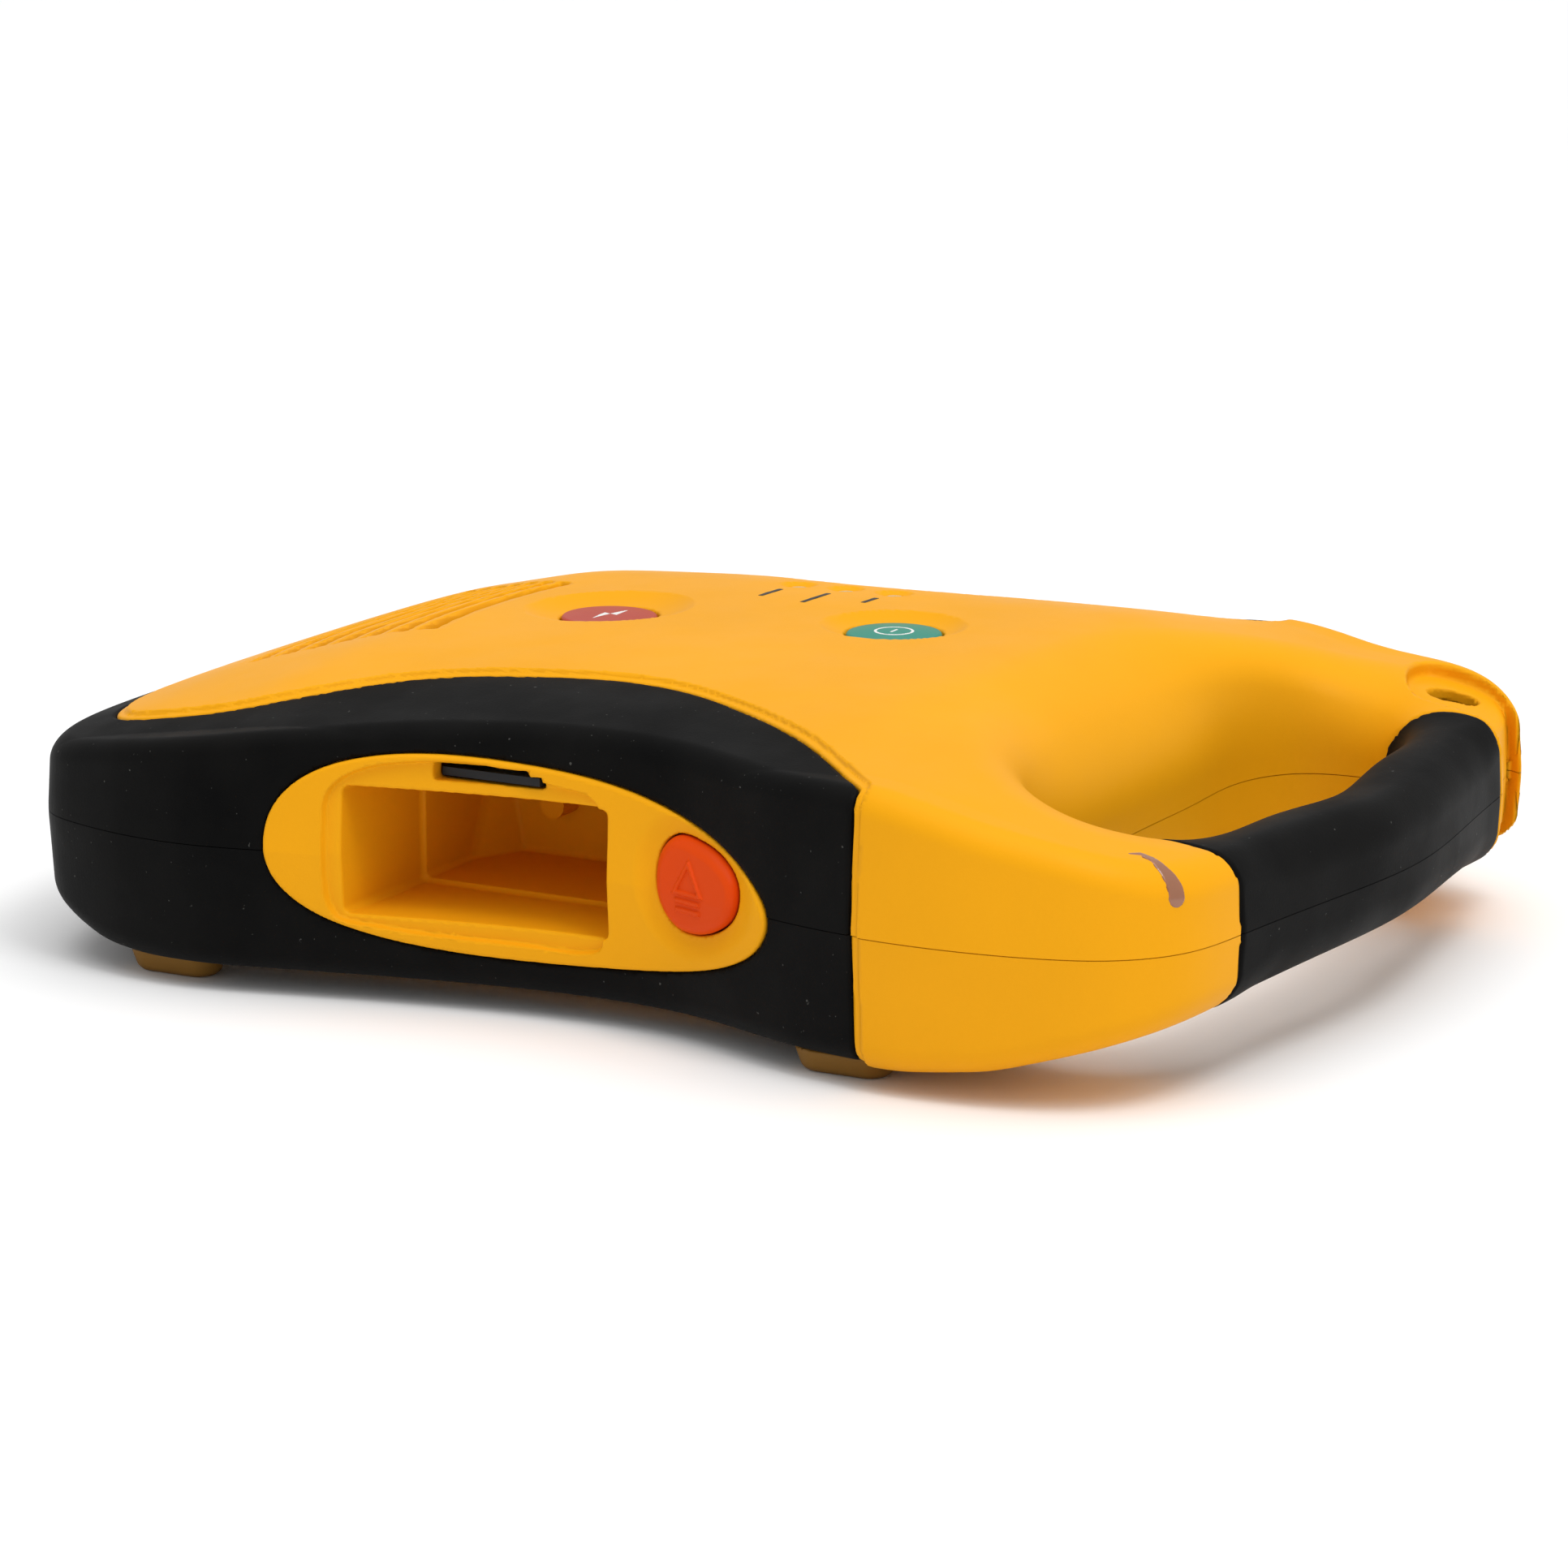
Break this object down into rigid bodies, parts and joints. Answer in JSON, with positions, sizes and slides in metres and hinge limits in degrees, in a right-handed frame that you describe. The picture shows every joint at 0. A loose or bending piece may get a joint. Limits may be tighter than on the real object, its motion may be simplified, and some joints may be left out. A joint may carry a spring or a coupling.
{
  "type": "automated external defibrillator",
  "caption": "Portable defibrillator with a carrying handle, rubber bumpers, keys on its sloped face, and a side battery bay with an eject button.",
  "frame": {"origin": "under the middle of the bounding box, on the surface that the feet stand on", "axes": "+X the device's right side with the battery bay, +Y the handle end, +Z the face with the keys"},
  "size_m": [0.2246, 0.3, 0.0702],
  "materials": {
    "case_yellow": "fine moulded texture, satin",
    "rubber_black": "soft matt rubber",
    "orange_plastic": "satin",
    "teal_key": "satin",
    "red_key": "satin",
    "lens": "translucent moulded plastic",
    "foot_rubber": "soft translucent amber rubber",
    "black_plastic": "matt",
    "spring_steel": "drawn wire",
    "board": "solder mask",
    "copper": "enamelled winding wire",
    "label": "blank printed film"
  },
  "bodies": {
    "housing": {"front_case": "case_yellow", "rear_case": "case_yellow", "battery_well": "case_yellow", "front_bumper": "rubber_black", "rear_bumper": "rubber_black", "front_grip": "rubber_black", "rear_grip": "rubber_black", "speaker_gasket": "rubber_black", "case_gasket": "rubber_black", "status_lens": "lens", "indicator_lens_1": "lens", "indicator_lens_2": "lens", "indicator_lens_3": "lens", "foot_1": "foot_rubber", "foot_2": "foot_rubber", "foot_3": "foot_rubber", "foot_4": "foot_rubber", "main_board": "board", "output_inductor": "copper", "rating_plate": "label", "battery_contacts": "black_plastic", "on_off_switch": "black_plastic", "shock_switch": "black_plastic", "pads_socket": "black_plastic", "speaker_cone": "black_plastic", "hv_capacitor": "black_plastic", "output_relay": "black_plastic", "left_pads_clip": "black_plastic", "right_pads_clip": "black_plastic", "eject_spring": "spring_steel", "ejector_spring": "spring_steel", "card_connector": "spring_steel", "on_off_spring": "spring_steel", "shock_spring": "spring_steel", "speaker_frame": "spring_steel", "speaker_magnet": "spring_steel", "transformer": "spring_steel", "case_screw_1": "spring_steel", "case_screw_2": "spring_steel", "case_screw_3": "spring_steel", "case_screw_4": "spring_steel", "case_screw_5": "spring_steel", "case_screw_6": "spring_steel"},
    "on_off_key": {"on_off_button": "teal_key"},
    "shock_key": {"shock_button": "red_key"},
    "eject_key": {"eject_button": "orange_plastic"},
    "latch": {"battery_latch": "black_plastic"},
    "ejector": {"battery_ejector": "black_plastic"},
    "card": {"data_card": "black_plastic"}
  },
  "joints": [
    {"name": "on_off_press", "type": "slide", "parent": "housing", "child": "on_off_key", "axis": [0, 0, -1], "range_m": [0, 0.0015], "stiffness_N_per_m": 1500, "deforming": ["on_off_spring"]},
    {"name": "shock_press", "type": "slide", "parent": "housing", "child": "shock_key", "axis": [0, 0, -1], "range_m": [0, 0.0015], "stiffness_N_per_m": 1500, "deforming": ["shock_spring"]},
    {"name": "eject_press", "type": "slide", "parent": "housing", "child": "eject_key", "axis": [-1, 0, 0], "range_m": [0, 0.003], "stiffness_N_per_m": 2500, "deforming": ["eject_spring"]},
    {"name": "latch_slide", "type": "slide", "parent": "housing", "child": "latch", "axis": [0, 1, 0], "range_m": [0, 0.0025]},
    {"name": "ejector_push", "type": "slide", "parent": "housing", "child": "ejector", "axis": [-1, 0, 0], "range_m": [0, 0.006], "stiffness_N_per_m": 800, "deforming": ["ejector_spring"]},
    {"name": "card_slide", "type": "slide", "parent": "housing", "child": "card", "axis": [1, 0, 0], "range_m": [0, 0.035]}
  ],
  "couplings": [
    {"joint": "latch_slide", "follows": "eject_press", "ratio": 0.8333}
  ]
}
